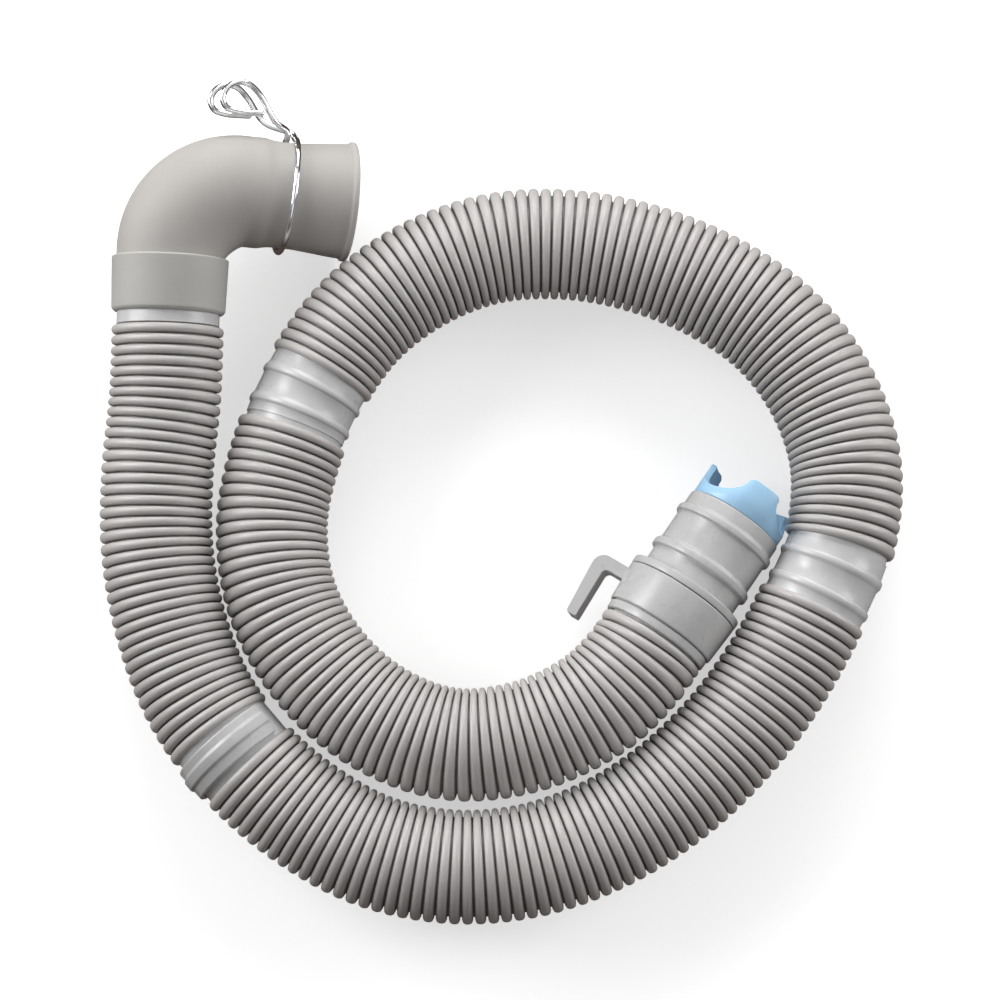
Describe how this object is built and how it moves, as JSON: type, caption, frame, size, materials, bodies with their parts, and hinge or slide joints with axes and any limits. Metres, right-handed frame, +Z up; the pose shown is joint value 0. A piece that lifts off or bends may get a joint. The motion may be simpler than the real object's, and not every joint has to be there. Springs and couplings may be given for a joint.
{
  "type": "corrugated drain hose kit",
  "caption": "Coiled corrugated drain hose with a soft swivel elbow and wire clamp at one end, a snap clip, and a hooked connector with a slotted insert at the other.",
  "frame": {"origin": "centre of the footprint of the laid hose, on the surface that it lies on", "axes": "+Z up from the surface; +Y towards the end with the elbow, along the hose start; +X to the right, the way the elbow mouth points"},
  "size_m": [0.2857, 0.3017, 0.0538],
  "materials": {
    "hose": "satin light grey polypropylene with annular ribs",
    "hose_cuff": "smooth light grey polypropylene",
    "fitting": "satin moulded light grey plastic",
    "collar": "matte warm grey moulded plastic",
    "elbow": "matte soft warm grey PVC",
    "wire": "bright plated spring wire",
    "crown": "light blue slightly translucent polypropylene",
    "seal": "black sealing rubber"
  },
  "bodies": {
    "hose": {"hose_section_1": "hose", "hose_section_2": "hose", "hose_section_3": "hose", "hose_section_4": "hose", "hose_cuff_1": "hose_cuff", "hose_cuff_2": "hose_cuff", "hose_cuff_3": "hose_cuff", "hose_start_cuff": "hose_cuff", "hose_end_cuff": "hose_cuff", "elbow_collar": "collar", "elbow_seal": "seal", "end_connector": "fitting", "end_seal": "seal"},
    "elbow": {"elbow_body": "elbow"},
    "clamp": {"clamp_back": "wire"},
    "clamp_top": {"clamp_wire_top": "wire"},
    "clamp_bottom": {"clamp_wire_bottom": "wire"},
    "clip": {"snap_clip": "fitting"},
    "hook": {"hook_ring": "fitting"},
    "crown": {"crown_insert": "crown", "crown_seal": "seal"}
  },
  "joints": [
    {"name": "elbow_swivel", "type": "hinge", "parent": "hose", "child": "elbow", "pos_m": [-0.1178, 0.0855, 0.0325], "axis": [-0.036, -0.9915, -0.125], "range_deg": [0, 180]},
    {"name": "clamp_turn", "type": "hinge", "parent": "elbow", "child": "clamp", "pos_m": [-0.07753, 0.11009, 0.02662], "axis": [0.9729, -0.0419, -0.2274], "range_deg": [-20, 110]},
    {"name": "clamp_squeeze_top", "type": "hinge", "parent": "clamp", "child": "clamp_top", "pos_m": [-0.07883, 0.08964, 0.02749], "axis": [0.9729, -0.0419, -0.2274], "range_deg": [0, 2.5], "stiffness_Nm_per_rad": 0.5, "springref_deg": -2.86},
    {"name": "clamp_squeeze_bottom", "type": "hinge", "parent": "clamp", "child": "clamp_bottom", "pos_m": [-0.08025, 0.09048, 0.02129], "axis": [0.9729, -0.0419, -0.2274], "range_deg": [-2.5, 0]},
    {"name": "clip_turn", "type": "hinge", "parent": "hose", "child": "clip", "pos_m": [-0.09338, -0.08919, 0.02148], "axis": [0.6533, -0.757, 0.0129], "continuous": true},
    {"name": "hook_turn", "type": "hinge", "parent": "hose", "child": "hook", "pos_m": [0.06087, -0.04052, 0.0223], "axis": [0.5632, 0.8256, -0.0349], "range_deg": [-14, 140]},
    {"name": "insert_twist", "type": "hinge", "parent": "hose", "child": "crown", "pos_m": [0.0834, -0.0075, 0.0209], "axis": [0.5632, 0.8256, -0.0349], "range_deg": [0, 30]}
  ],
  "couplings": [
    {"joint": "clamp_squeeze_bottom", "follows": "clamp_squeeze_top", "ratio": -1}
  ]
}
